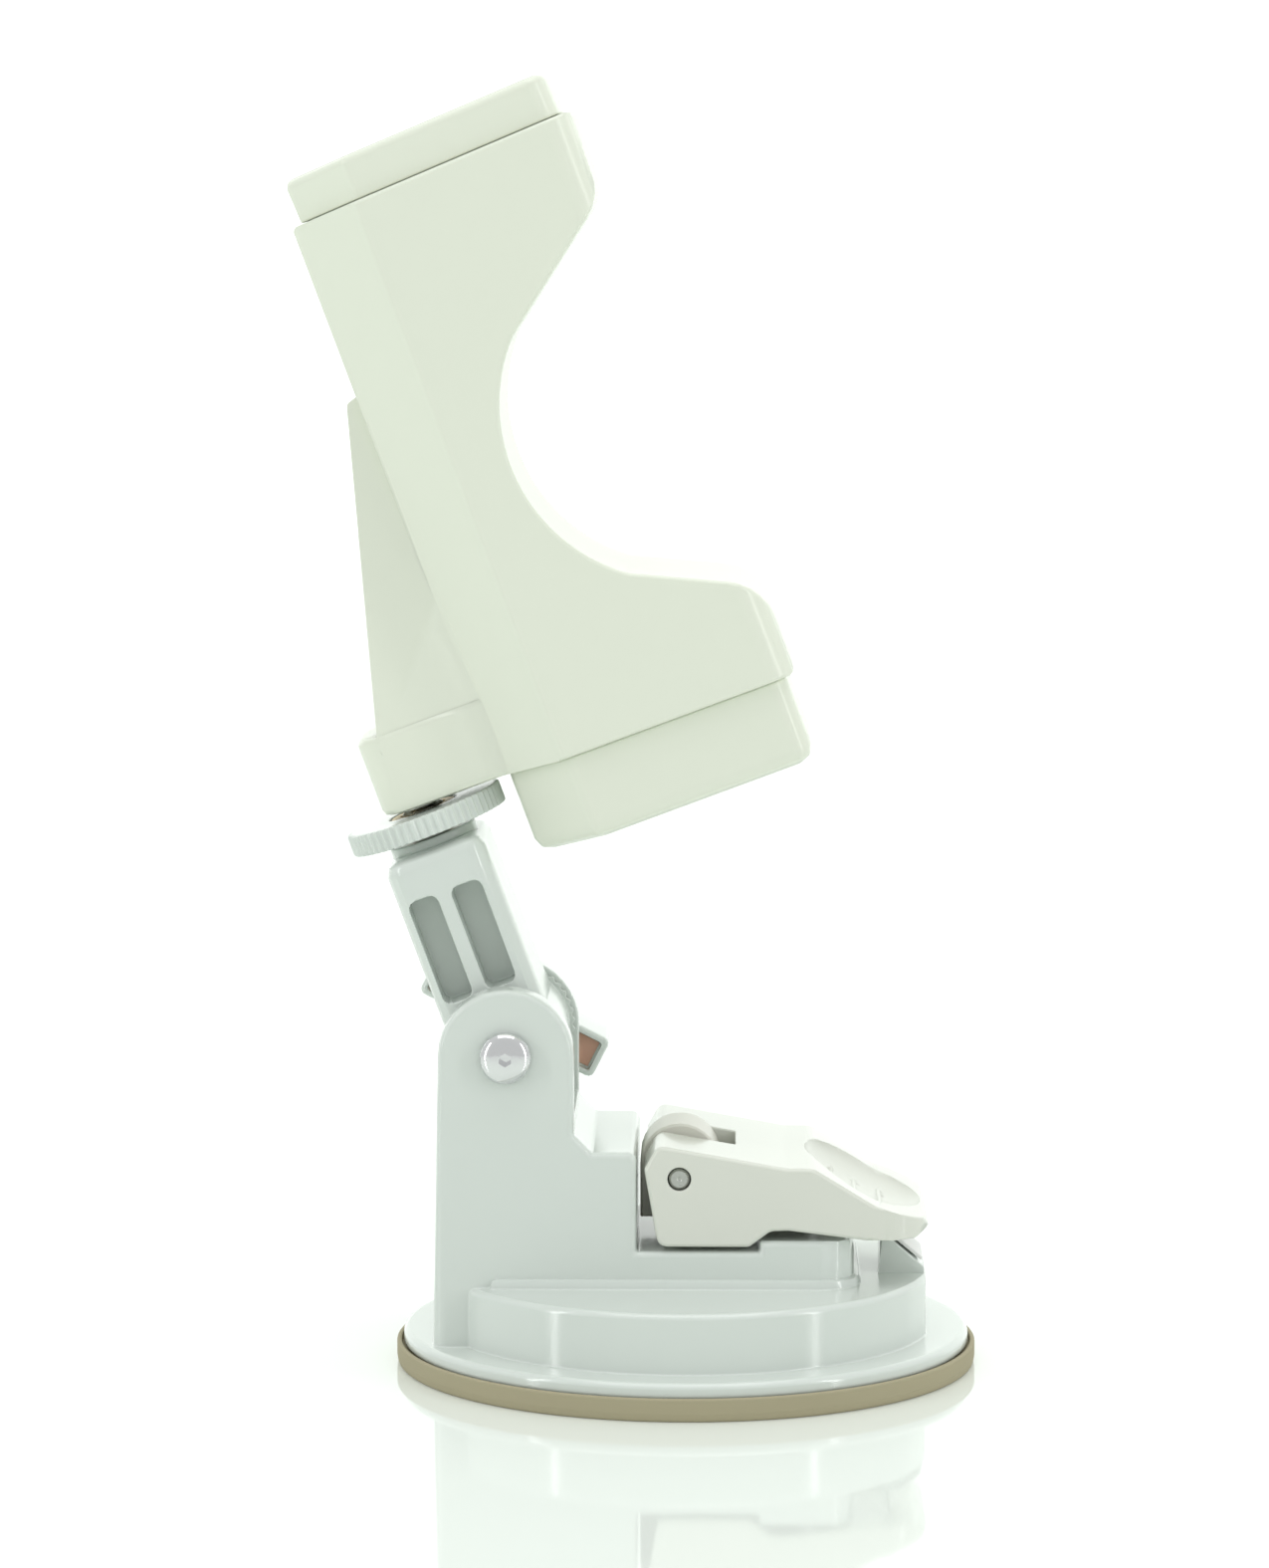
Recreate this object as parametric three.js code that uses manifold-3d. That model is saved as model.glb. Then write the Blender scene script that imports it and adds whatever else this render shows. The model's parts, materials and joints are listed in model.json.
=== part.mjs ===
// Lever-operated suction mount with a tilting arm and a C-shaped saddle grip on a tripod stud.
// Millimetres, +Z up. The rubber cup lies flat on z = 0 and the clamp lever points along +X.
// The arm assembly is built along its own axis and then leaned over as a group.

import * as THREE from 'three';
import { mergeVertices } from 'three/addons/utils/BufferGeometryUtils.js';
import Module from 'manifold-3d';

const wasm = await Module();
wasm.setup();

// ---------------------------------------------------------------- driving dimensions

const GAP = 0.3; // clearance between neighbouring parts
const SEAM = 0.12; // line between the grip and its end pieces

// Rubber cup and housing
const CUP_RADIUS = 42.5;
const CUP_DOME = 3.4; // height of the hollow under the middle of the cup
const CUP_TOP = 5;
const FLANGE_RADIUS = 41.5;
const FLANGE_BOTTOM = 2.7;
const FLANGE_TOP = 5.3;
const DRUM_RADIUS = 36;
const DRUM_TOP = 14;
const DRUM_FLAT_X = 35; // the drum is cut flat under the lever tip
const HOUSING_WALL = 2.4;
const HALF_WIDTH = 18; // block, ears and lever share this half width
const POST_LEFT = -36.4;
const DECK_TOP = 33.8;
const DECK_RIGHT = -7;
const SHELF_TOP = 19.4;
const SKIRT_LEFT = -28; // the step round the foot of the block starts here
const RAIL_LEFT = 10.7;
const RAIL_RIGHT = 24.4;
const RAIL_TOP = 20.9;
const NOSE = { left: 28.4, right: 34.8, halfWidth: 6, top: 19 };

// Tilting joint
const PIVOT = { x: -25.8, z: 47.7 };
const EAR_RADIUS = 9.75;
const EAR_THICKNESS = 4.7;
const SLOT_FLOOR = 37.5;
const BOLT_RADIUS = 2.4;
const BOLT_HEAD_RADIUS = 3.75;
const BOLT_END = 28.5;
const WASHER_RADIUS = 8.8;
const WASHER_THICKNESS = 0.7;
const KNOB = { start: 19.3, end: 31, hubRadius: 7.6, halfSpan: 14.5, halfWidth: 3.25, recess: 1.6, turn: 27 };

// Cam lever and pull stem
const PIN = { x: -0.85, z: 30, radius: 1.5 };
const STEM_RADIUS = 4;
const KNUCKLE_RADIUS = 5.8;
const KNUCKLE_HALF_WIDTH = 5;
const KNUCKLE_BOTTOM = 22;
const LEVER_SLOT_END = 7.2;
const SCOOP = { x: 26, z: 28, rx: 9.5, ry: 14, rz: 3.2, slope: 25 }; // an ellipsoid lying along the sloping top
const PLATE = { radius: 22, bottom: 5.3, top: 7.1 };
const SPRING = { radius: 8.4, wire: 0.7, bottom: 7.4, top: 16.7, turns: 4.5 };

// Arm, along its own axis from the pivot
const LEAN = 20.5; // degrees from vertical, away from the lever
const ARM = { halfDepth: 7.5, halfWidth: 12, corner: 3, hubRadius: 8.6, shoulder: 31, neckRadius: 6.6, top: 32.2 };
const POCKET = { low: 9.2, high: 25, floor: 6.2, bands: [[-6.1, -1.6], [0.5, 5.1]] };
const STUD = { radius: 3.175, headRadius: 4.6, headLow: 20.3, headHigh: 23.7, end: 46.7 };
const WHEEL = { radius: 11.8, low: 33, high: 36.2, teeth: 60, toothDepth: 0.4, insertRadius: 4.9 };

// Saddle grip, measured from the underside of its foot and from the stud axis
const FOOT_LEVEL = 37.2;
const GRIP_WALL = 2.4;
const GRIP_BACK = 12.6;
const GRIP_HALF_WIDTH = 17;
const GRIP_BACK_HALF = 6.75; // half width of the flat strip down the back
const GRIP_SIDE_START = 22.9; // where the bevelled back meets the flat side
const GRIP_TOP_FRONT = 56;
const GRIP_LOW_FRONT = 58.2;
const GRIP_CORNER = 4.4;
const GRIP_TOP = 84.2; // at the back; the top face rises towards the front
const GRIP_TOP_SLOPE = 2.4;
const SADDLE = { x: 55.6, z: 42, radius: 25, lowAngle: 233.6, highAngle: 137.4 };
const CAP_HEIGHT = 6.5;
const CAP_STEP = 1.5;
const PLUG_DEPTH = 12.6;
const SPIGOT_LENGTH = 6;
const FOOT = { back: -5.3, halfWidth: 8.5, height: 11.9, corner: 5 };
const INSERT = { radius: 4, length: 9.4 };

// ---------------------------------------------------------------- finishes

const finish = (color, roughness, metalness = 0) => new THREE.MeshStandardMaterial({ color, roughness, metalness });
const whitePlastic = () => finish(0xe9ebe6, 0.3);
const leverPlastic = () => finish(0xe6e5da, 0.32);
const gripPlastic = () => finish(0xe6e9dc, 0.35);
const steel = () => finish(0xc4c5c2, 0.3, 1);
const chrome = () => finish(0xdcdddd, 0.12, 1);
const brass = () => finish(0xb8944c, 0.3, 1);
const rubber = () => finish(0xa39e84, 0.6);

// ---------------------------------------------------------------- outlines

const deg = THREE.MathUtils.degToRad;

function arc(cx, cy, radius, start, end, steps) {
  return Array.from({ length: steps + 1 }, (_, i) => {
    const angle = deg(start + ((end - start) * i) / steps);
    return new THREE.Vector2(cx + radius * Math.cos(angle), cy + radius * Math.sin(angle));
  });
}

const circle = (radius, steps = 32, cx = 0, cy = 0) => arc(cx, cy, radius, 0, 360 - 360 / steps, steps - 1);

// Each corner is [x, y, radius]; a corner without a radius stays sharp.
function rounded(corners, steps = 3) {
  return corners.flatMap(([x, y, radius], i) => {
    const corner = new THREE.Vector2(x, y);
    if (!radius) return [corner];
    const back = new THREE.Vector2(...corners.at(i - 1).slice(0, 2)).sub(corner).normalize();
    const ahead = new THREE.Vector2(...corners[(i + 1) % corners.length].slice(0, 2)).sub(corner).normalize();
    const half = Math.acos(back.dot(ahead)) / 2;
    const reach = radius / Math.tan(half);
    const centre = back.clone().add(ahead).setLength(radius / Math.sin(half)).add(corner);
    const first = back.clone().multiplyScalar(reach).add(corner).sub(centre);
    const last = ahead.clone().multiplyScalar(reach).add(corner).sub(centre);
    const sweep = Math.atan2(first.cross(last), first.dot(last));
    return Array.from({ length: steps + 1 }, (_, k) => {
      return first.clone().rotateAround(new THREE.Vector2(), (sweep * k) / steps).add(centre);
    });
  });
}

const rectangle = (left, right, low, high, radius = 0) =>
  rounded([[left, low, radius], [right, low, radius], [right, high, radius], [left, high, radius]]);

// Moves every edge of a counter-clockwise list of corners inwards and tightens its radii.
function shrunk(corners, distance, smallest = 0.4) {
  const points = corners.map(([x, y]) => new THREE.Vector2(x, y));
  return points.map((point, i) => {
    const before = point.clone().sub(points.at(i - 1)).normalize();
    const after = points[(i + 1) % points.length].clone().sub(point).normalize();
    const inward = new THREE.Vector2(-before.y - after.y, before.x + after.x);
    const moved = inward.multiplyScalar(distance / (1 + before.dot(after))).add(point);
    const radius = corners[i][2];
    return [moved.x, moved.y, radius && Math.max(radius - distance, smallest)];
  });
}

// ---------------------------------------------------------------- solids

function solid(geometry) {
  geometry.deleteAttribute('normal');
  geometry.deleteAttribute('uv');
  const merged = mergeVertices(geometry, 1e-4);
  const index = Array.from(merged.index.array);
  const triangles = [];
  for (let i = 0; i < index.length; i += 3) {
    const [a, b, c] = index.slice(i, i + 3);
    if (a !== b && b !== c && c !== a) triangles.push(a, b, c);
  }
  const vertProperties = new Float32Array(merged.attributes.position.array);
  return new wasm.Manifold(new wasm.Mesh({ numProp: 3, vertProperties, triVerts: new Uint32Array(triangles) }));
}

function prism(outline, low, high, bevel = 0) {
  const shape = new THREE.Shape(outline);
  const geometry = new THREE.ExtrudeGeometry(shape, {
    depth: high - low - 2 * bevel,
    bevelEnabled: bevel > 0,
    bevelThickness: bevel,
    bevelSize: bevel,
    bevelOffset: -bevel,
    bevelSegments: 2,
  });
  return geometry.translate(0, 0, low + bevel);
}

// Outline in X and Y, extruded along Z.
const upright = (outline, low, high, bevel = 0) => solid(prism(outline, low, high, bevel));

// Outline in X and Z, extruded along Y.
const sideways = (outline, low, high, bevel = 0) => solid(prism(outline, -high, -low, bevel).rotateX(Math.PI / 2));

// Outline in Y and Z, extruded along X.
const lengthways = (outline, low, high, bevel = 0) =>
  solid(prism(outline, low, high, bevel).rotateX(Math.PI / 2).rotateZ(Math.PI / 2));

// Profile of [radius, z] pairs running up the outside, turned about Z.
function turned(profile, steps = 48) {
  const points = profile.map(([radius, z]) => new THREE.Vector2(radius, z));
  return new THREE.LatheGeometry(points, steps).rotateX(Math.PI / 2);
}

const box = (x0, x1, y0, y1, z0, z1) => upright(rectangle(x0, x1, y0, y1), z0, z1);
const join = (...pieces) => pieces.reduce((whole, piece) => whole.add(piece));
const cut = (whole, ...pieces) => pieces.reduce((rest, piece) => rest.subtract(piece), whole);

function part(name, shape, material) {
  const { numProp, vertProperties, triVerts } = shape.getMesh();
  const geometry = new THREE.BufferGeometry();
  geometry.setAttribute('position', new THREE.BufferAttribute(new Float32Array(vertProperties), numProp));
  geometry.setIndex(Array.from(triVerts));
  geometry.computeVertexNormals();
  const mesh = new THREE.Mesh(geometry, material);
  mesh.name = name;
  return mesh;
}

// ---------------------------------------------------------------- base

// Side view of the block, its deck, shelf and rail, and the rounded top of the ears.
function blockOutline() {
  const earTop = arc(PIVOT.x, PIVOT.z, EAR_RADIUS, 0, 180, 18);
  const gusset = 2.6;
  const postRight = PIVOT.x + EAR_RADIUS;
  return [
    ...rounded([
      [POST_LEFT, FLANGE_BOTTOM + 1],
      [RAIL_RIGHT, FLANGE_BOTTOM + 1],
      [RAIL_RIGHT, RAIL_TOP, 1.5],
      [RAIL_LEFT, RAIL_TOP],
      [RAIL_LEFT, SHELF_TOP],
      [DECK_RIGHT, SHELF_TOP],
      [DECK_RIGHT, DECK_TOP, 1.2],
      [postRight + gusset, DECK_TOP],
      [postRight, DECK_TOP + gusset],
    ]),
    ...earTop,
  ];
}

function housingCavity() {
  const wall = HOUSING_WALL;
  const inner = HALF_WIDTH - wall;
  const left = POST_LEFT + wall + 0.8;
  const bottom = FLANGE_BOTTOM - 1;
  return join(
    upright(circle(DRUM_RADIUS - wall, 64), bottom, DRUM_TOP - wall),
    box(left, RAIL_RIGHT - wall, -inner, inner, bottom, SHELF_TOP - wall),
    box(left, DECK_RIGHT - wall, -inner, inner, bottom, DECK_TOP - wall),
  );
}

function baseHousing() {
  const rim = 0.6;
  const drum = solid(turned([
    [0, FLANGE_BOTTOM],
    [FLANGE_RADIUS - rim, FLANGE_BOTTOM],
    [FLANGE_RADIUS, FLANGE_BOTTOM + rim],
    [FLANGE_RADIUS, FLANGE_TOP - rim],
    [FLANGE_RADIUS - rim, FLANGE_TOP],
    [DRUM_RADIUS, FLANGE_TOP],
    [DRUM_RADIUS, DRUM_TOP - rim],
    [DRUM_RADIUS - rim, DRUM_TOP],
    [0, DRUM_TOP],
  ], 72));
  const drumEnd = box(DRUM_FLAT_X, CUP_RADIUS, -20, 20, FLANGE_TOP, DRUM_TOP + 1);
  const plan = [
    [POST_LEFT, -HALF_WIDTH, 2],
    [RAIL_RIGHT, -HALF_WIDTH, 5],
    [RAIL_RIGHT, HALF_WIDTH, 5],
    [POST_LEFT, HALF_WIDTH, 2],
  ];
  const block = sideways(blockOutline(), -HALF_WIDTH, HALF_WIDTH, 0.9).intersect(upright(rounded(plan), 0, 80));
  const skirtHalf = HALF_WIDTH + 0.9;
  const skirt = upright(rounded([
    [SKIRT_LEFT, -skirtHalf],
    [RAIL_RIGHT + 0.9, -skirtHalf, 5.9],
    [RAIL_RIGHT + 0.9, skirtHalf, 5.9],
    [SKIRT_LEFT, skirtHalf],
  ]), DRUM_TOP - 0.9, DRUM_TOP + 1.4, 0.8);
  const noseOutline = [
    [NOSE.left, DRUM_TOP - 1],
    [NOSE.right, DRUM_TOP - 1],
    [NOSE.right, DRUM_TOP + 1],
    [NOSE.left + 1.6, NOSE.top],
    [NOSE.left, NOSE.top],
  ];
  const nose = sideways(rounded(noseOutline), -NOSE.halfWidth, NOSE.halfWidth);
  const guide = upright(circle(STEM_RADIUS + 2.2, 32), SHELF_TOP - 6.4, SHELF_TOP - 1);
  const slotHalf = HALF_WIDTH - EAR_THICKNESS;
  const shell = cut(join(cut(drum, drumEnd), block, skirt, nose), housingCavity());
  return cut(
    join(shell, guide),
    upright(circle(STEM_RADIUS + 0.4, 32), 0, SHELF_TOP + 1),
    box(-50, DECK_RIGHT - 1, -slotHalf, slotHalf, SLOT_FLOOR, 70),
    sideways(circle(BOLT_RADIUS + 0.4, 24, PIVOT.x, PIVOT.z), -30, 30),
  );
}

function suctionCup() {
  const seat = FLANGE_BOTTOM - GAP; // the flange rests on this face
  const lipInner = FLANGE_RADIUS + GAP;
  return solid(turned([
    [0, CUP_DOME],
    [20, CUP_DOME - 0.5],
    [34, 0.9],
    [37.5, 0],
    [CUP_RADIUS - 1, 0],
    [CUP_RADIUS, 0.9],
    [CUP_RADIUS, 3.2],
    [CUP_RADIUS - 0.3, 3.5],
    [lipInner, 3.3],
    [lipInner, seat],
    [31, seat],
    [26, CUP_TOP],
    [0, CUP_TOP],
  ], 72));
}

function indicatorPad() {
  const low = new THREE.Vector2(NOSE.right, DRUM_TOP + 1);
  const high = new THREE.Vector2(NOSE.left + 1.6, NOSE.top);
  const along = high.clone().sub(low).normalize();
  const out = new THREE.Vector2(along.y, -along.x);
  const from = low.clone().addScaledVector(along, 0.8).addScaledVector(out, GAP);
  const to = high.clone().addScaledVector(along, -0.8).addScaledVector(out, GAP);
  const thickness = 0.5;
  const outline = [from, from.clone().addScaledVector(out, thickness), to.clone().addScaledVector(out, thickness), to];
  return sideways(outline, -NOSE.halfWidth + 0.8, NOSE.halfWidth - 0.8);
}

class Helix extends THREE.Curve {
  getPoint(t) {
    const angle = 2 * Math.PI * SPRING.turns * t;
    const low = SPRING.bottom + SPRING.wire;
    const high = SPRING.top - SPRING.wire;
    const rise = THREE.MathUtils.smoothstep(t, 0.06, 0.94);
    return new THREE.Vector3(SPRING.radius * Math.cos(angle), SPRING.radius * Math.sin(angle), low + (high - low) * rise);
  }
}

function returnSpring() {
  const wire = new THREE.Shape(circle(SPRING.wire, 6));
  return solid(new THREE.ExtrudeGeometry(wire, { steps: 72, extrudePath: new Helix() }));
}

function pivotBolt() {
  const length = BOLT_END + HALF_WIDTH + GAP;
  const profile = [
    [0, 0],
    [BOLT_RADIUS - 0.4, 0],
    [BOLT_RADIUS, 0.5],
    [BOLT_RADIUS, length],
    [BOLT_HEAD_RADIUS, length],
    [BOLT_HEAD_RADIUS, length + 0.5],
    [BOLT_HEAD_RADIUS * 0.88, length + 1.2],
    [BOLT_HEAD_RADIUS * 0.58, length + 1.9],
    [0, length + 2.3],
  ];
  return solid(turned(profile, 32).rotateX(Math.PI / 2).translate(0, BOLT_END, 0));
}

// Ring about the tilt axis, between two distances from the middle plane.
function pivotRing(outline, bore, low, high) {
  return cut(sideways(outline, low, high), sideways(circle(bore, 24), low - 1, high + 1));
}

const frontWasher = () =>
  pivotRing(circle(WASHER_RADIUS, 40), BOLT_RADIUS + GAP, -ARM.halfWidth - GAP - WASHER_THICKNESS, -ARM.halfWidth - GAP);

function serratedWasher() {
  const teeth = 40;
  const outline = Array.from({ length: teeth * 2 }, (_, i) => {
    const angle = (Math.PI * i) / teeth;
    const radius = WASHER_RADIUS + (i % 2 ? 0.5 : 0);
    return new THREE.Vector2(radius * Math.cos(angle), radius * Math.sin(angle));
  });
  return pivotRing(outline, BOLT_RADIUS + GAP, ARM.halfWidth + GAP, ARM.halfWidth + GAP + WASHER_THICKNESS);
}

const knobWasher = () =>
  pivotRing(circle(6.6, 32), BOLT_RADIUS + GAP, HALF_WIDTH + GAP, HALF_WIDTH + GAP + WASHER_THICKNESS);

// ---------------------------------------------------------------- knob behind the rear ear

const NUT = { radius: 4.5, low: KNOB.start + 0.9, high: KNOB.start + 5.4 };

const knobNut = () => pivotRing(circle(NUT.radius, 6), BOLT_RADIUS + GAP, NUT.low, NUT.high);

function wingKnob() {
  const wing = rectangle(-KNOB.halfSpan, KNOB.halfSpan, -KNOB.halfWidth, KNOB.halfWidth, 1);
  const body = join(
    sideways(circle(KNOB.hubRadius, 36), KNOB.start, KNOB.end, 0.8),
    sideways(wing, KNOB.start, KNOB.end, 0.6),
  );
  const wall = 0.9;
  const floor = KNOB.start + KNOB.recess;
  const hollow = rectangle(KNOB.hubRadius + 0.6, KNOB.halfSpan - wall, wall - KNOB.halfWidth, KNOB.halfWidth - wall, 0.5);
  const recess = sideways(hollow, KNOB.start - 1, floor);
  const recessFar = sideways(hollow.map((point) => point.clone().negate()), KNOB.start - 1, floor);
  const nutPocket = sideways(circle(NUT.radius + 0.35, 6), KNOB.start - 1, NUT.high + GAP);
  const bore = sideways(circle(BOLT_RADIUS + 0.4, 24), KNOB.start - 1, BOLT_END + 0.9);
  return cut(body, recess, recessFar, nutPocket, bore);
}

// ---------------------------------------------------------------- stem and lever

function pullStem() {
  const top = arc(PIN.x, PIN.z, KNUCKLE_RADIUS, 0, 180, 14);
  const left = PIN.x - KNUCKLE_RADIUS;
  const right = PIN.x + KNUCKLE_RADIUS;
  const outline = [...top, new THREE.Vector2(left, KNUCKLE_BOTTOM), new THREE.Vector2(right, KNUCKLE_BOTTOM)];
  return cut(
    join(
      sideways(outline, -KNUCKLE_HALF_WIDTH, KNUCKLE_HALF_WIDTH, 0.4),
      upright(circle(STEM_RADIUS, 28), PLATE.top + GAP, KNUCKLE_BOTTOM + 2),
    ),
    sideways(circle(PIN.radius + GAP, 20, PIN.x, PIN.z), -9, 9),
  );
}

const diaphragmPlate = () => upright(circle(PLATE.radius, 48), PLATE.bottom, PLATE.top, 0.4);

function leverOutline() {
  return rounded([
    [-3.9, 20.1, 1.5],
    [9.2, 20.1, 1],
    [12.3, 22.4, 1.5],
    [14.8, 22.5, 1],
    [26.2, 21.1, 3],
    [33.2, 21.1, 1.2],
    [35.2, 22.4],
    [34.5, 23.7],
    [27.6, 26, 8],
    [18.4, 31.6, 3],
    [14.6, 31.6, 3],
    [-4, 34.9, 1.6],
    [-5.9, 31.4, 0.8],
  ]);
}

function camLever() {
  const tip = 35.4;
  const plan = [[-8, -HALF_WIDTH], [tip, -HALF_WIDTH, 8], [tip, HALF_WIDTH, 8], [-8, HALF_WIDTH]];
  const body = sideways(leverOutline(), -HALF_WIDTH, HALF_WIDTH, 0.5).intersect(upright(rounded(plan, 9), 10, 40));
  const hollowed = rounded([[11, 15], [30, 15], [30, 22.4], [19, 23.3, 2], [13.5, 27.5], [11, 27.5]]);
  const sphere = new THREE.SphereGeometry(1, 32, 20).scale(SCOOP.rx, SCOOP.ry, SCOOP.rz);
  const scoop = solid(sphere.rotateY(deg(SCOOP.slope)).translate(SCOOP.x, 0, SCOOP.z));
  const slotHalf = KNUCKLE_HALF_WIDTH + 0.5;
  const bore = circle(PIN.radius + 0.2, 20, PIN.x, PIN.z);
  const hollow = cut(
    body,
    scoop,
    box(-12, LEVER_SLOT_END, -slotHalf, slotHalf, 10, 40),
    sideways(hollowed, -HALF_WIDTH, HALF_WIDTH).intersect(upright(rounded(shrunk(plan, 2.4), 9), 10, 40)),
    sideways(bore, -30, 30),
  );
  return join(hollow, ...[-3.9, 0, 3.9].map(gripRib));
}

// Thin ridge across the floor of the scoop, at a distance along its slope.
function gripRib(along) {
  const sink = SCOOP.rz * Math.sqrt(1 - (along / SCOOP.rx) ** 2);
  const place = new THREE.Vector2(along, -sink).rotateAround(new THREE.Vector2(), -deg(SCOOP.slope));
  return sideways(circle(0.45, 12, SCOOP.x + place.x, SCOOP.z + place.y), -7, 7, 0.2);
}

const leverPin = () => sideways(circle(PIN.radius, 20, PIN.x, PIN.z), GAP - HALF_WIDTH, HALF_WIDTH - GAP, 0.2);

// ---------------------------------------------------------------- arm and lock wheel

function arm() {
  const plan = rectangle(-ARM.halfDepth, ARM.halfDepth, -ARM.halfWidth, ARM.halfWidth, ARM.corner);
  const body = join(
    upright(plan, -2.3, ARM.shoulder, 2),
    sideways(circle(ARM.hubRadius, 40), -ARM.halfWidth, ARM.halfWidth, 0.7),
    upright(circle(ARM.neckRadius, 36), ARM.shoulder - 2, ARM.top),
  );
  const pockets = POCKET.bands.flatMap(([left, right]) => {
    const outline = rectangle(left, right, POCKET.low, POCKET.high, 1.2);
    return [sideways(outline, POCKET.floor, 20), sideways(outline, -20, -POCKET.floor)];
  });
  return cut(
    body,
    ...pockets,
    sideways(circle(BOLT_RADIUS + 2.4, 28), -20, 20),
    upright(circle(STUD.radius + GAP, 28), STUD.headLow - GAP, 40),
    upright(circle(STUD.headRadius + GAP, 6), STUD.headLow - GAP, STUD.headHigh + GAP),
  );
}

const pivotBush = () => cut(
  sideways(circle(BOLT_RADIUS + 2.1, 28), GAP - ARM.halfWidth, ARM.halfWidth - GAP),
  sideways(circle(BOLT_RADIUS + GAP, 28), -20, 20),
);

const tripodStud = () => join(
  upright(circle(STUD.headRadius, 6), STUD.headLow, STUD.headHigh),
  upright(circle(STUD.radius, 28), STUD.headHigh - 1, STUD.end, 0.6),
);

function lockWheel() {
  const outline = Array.from({ length: WHEEL.teeth * 2 }, (_, i) => {
    const angle = (Math.PI * i) / WHEEL.teeth;
    const radius = WHEEL.radius - (i % 2 ? WHEEL.toothDepth : 0);
    return new THREE.Vector2(radius * Math.cos(angle), radius * Math.sin(angle));
  });
  return cut(upright(outline, WHEEL.low, WHEEL.high), upright(circle(WHEEL.insertRadius + GAP, 32), 30, 40));
}

const wheelInsert = () => cut(
  upright(circle(WHEEL.insertRadius, 32), WHEEL.low + 0.1, WHEEL.high - 0.1),
  upright(circle(STUD.radius + GAP, 28), 30, 40),
);

// ---------------------------------------------------------------- saddle grip

// Section across the grip: a narrow flat back, bevelled shoulders, flat sides, rounded front.
function gripSection(front, distance, smallest) {
  const corners = [
    [GRIP_BACK, -GRIP_BACK_HALF, 1.5],
    [GRIP_SIDE_START, -GRIP_HALF_WIDTH, 1.2],
    [front, -GRIP_HALF_WIDTH, GRIP_CORNER],
    [front, GRIP_HALF_WIDTH, GRIP_CORNER],
    [GRIP_SIDE_START, GRIP_HALF_WIDTH, 1.2],
    [GRIP_BACK, GRIP_BACK_HALF, 1.5],
  ];
  return rounded(shrunk(corners, distance, smallest), 4);
}

// Side view of the grip with its round saddle; the ends can be lengthened to cut it hollow.
function gripSide(distance, extra) {
  const { x, z, radius, lowAngle, highAngle } = SADDLE;
  const topRise = (GRIP_TOP_FRONT - GRIP_BACK) * Math.tan(deg(GRIP_TOP_SLOPE));
  const top = GRIP_TOP + extra;
  const corners = [
    [GRIP_BACK, -extra],
    [GRIP_LOW_FRONT, -extra, 1],
    [GRIP_LOW_FRONT, 13.6, 8],
    ...arc(x, z, radius, lowAngle, highAngle, 24).map((point) => [point.x, point.y]),
    [GRIP_TOP_FRONT - 0.3, 73, 7],
    [GRIP_TOP_FRONT, top + topRise, 1],
    [GRIP_BACK, top, 1],
  ];
  return rounded(shrunk(corners, distance), 5);
}

// The lobe above the saddle is a little shallower than the lobe below it.
function gripVolume(distance, extra) {
  const lowLobe = upright(gripSection(GRIP_LOW_FRONT, distance), -60, SADDLE.z);
  const topLobe = upright(gripSection(GRIP_TOP_FRONT, distance), SADDLE.z, 140);
  return join(lowLobe, topLobe).intersect(sideways(gripSide(distance, extra), -30, 30));
}

// The foot that the stud screws into, and the tapering rib that carries it up the back.
function gripFoot() {
  const root = GRIP_BACK + GRIP_WALL - 0.2;
  const pad = upright(rounded([
    [FOOT.back, -FOOT.halfWidth, FOOT.corner],
    [root, -FOOT.halfWidth],
    [root, FOOT.halfWidth],
    [FOOT.back, FOOT.halfWidth, FOOT.corner],
  ], 6), 0, FOOT.height, 1);
  const ribSide = [[-2.1, 9], [root, 9], [root, 59], [10.9, 58, 0.8], [-2.1, 10.8]];
  const ribFront = [[-8.2, 9], [8.2, 9], [5, 59, 2], [-5, 59, 2]];
  const rib = sideways(rounded(ribSide), -10, 10).intersect(lengthways(rounded(ribFront), -5, root + 1, 1.5));
  return join(pad, rib);
}

function gripShell() {
  const outer = gripVolume(0, 0);
  const inner = gripVolume(GRIP_WALL, 40);
  const bore = upright(circle(INSERT.radius + GAP, 32), -1, INSERT.length + 0.6);
  return cut(join(cut(outer, inner), gripFoot()), bore);
}

// Tub-shaped end piece: a visible collar and a spigot that fits inside the shell.
function endPiece(front, depth, edge) {
  const collar = gripSection(front, CAP_STEP, edge + 0.3);
  const spigot = gripSection(front, GRIP_WALL + GAP + 0.3);
  const hollow = gripSection(front, GRIP_WALL + 2);
  const body = join(
    upright(collar, SEAM, depth, edge),
    upright(collar, SEAM, depth / 2),
    upright(spigot, -SPIGOT_LENGTH, depth / 2),
  );
  return cut(body, upright(hollow, -SPIGOT_LENGTH - 1, depth - 2));
}

function topCap() {
  const tilt = new THREE.Matrix4().makeRotationY(-deg(GRIP_TOP_SLOPE));
  tilt.setPosition(0, 0, GRIP_TOP - GRIP_BACK * Math.tan(deg(GRIP_TOP_SLOPE)));
  return endPiece(GRIP_TOP_FRONT, CAP_HEIGHT, 1.2).transform(tilt.elements);
}

function bottomPlug() {
  return endPiece(GRIP_LOW_FRONT, PLUG_DEPTH, 2.2).mirror([0, 0, 1]);
}

const threadedInsert = () => cut(
  upright(circle(INSERT.radius, 32), GAP, INSERT.length + GAP),
  upright(circle(STUD.radius + 0.25, 28), -1, 20),
);

// ---------------------------------------------------------------- assembly

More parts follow.
